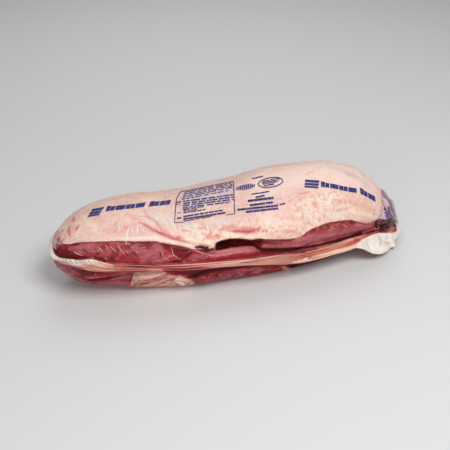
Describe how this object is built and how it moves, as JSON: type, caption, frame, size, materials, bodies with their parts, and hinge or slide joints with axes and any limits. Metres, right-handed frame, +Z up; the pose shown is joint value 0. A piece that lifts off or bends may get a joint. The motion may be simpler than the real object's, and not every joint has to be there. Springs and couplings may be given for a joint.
{
  "type": "vacuum-packed raw beef flat iron",
  "caption": "Raw flat iron beef in a tight clear shrink bag: a long dome with a fat cover above cut lean, a seam fin round its sides, a shrunk corner, and a flat underside to rest on.",
  "frame": {"origin": "under the middle of the pack, on the surface that it rests on", "axes": "+X along the pack towards its thick end, -Y to the front where the cut lean shows, +Z up"},
  "size_m": [0.4302, 0.1522, 0.1009],
  "materials": {
    "beef_in_film": "clear glossy film drawn tight on pale fat and red lean",
    "clear_film": "clear, high gloss, finely wrinkled, with dark blue print",
    "beef_fat": "moist, pale pink to cream, with thin red veins",
    "beef_lean": "wet, dark purplish red with fine grain",
    "shrunk_film": "milky, crumpled, satin"
  },
  "bodies": {
    "root": {"vacuum_bag": "beef_in_film"}
  },
  "joints": []
}
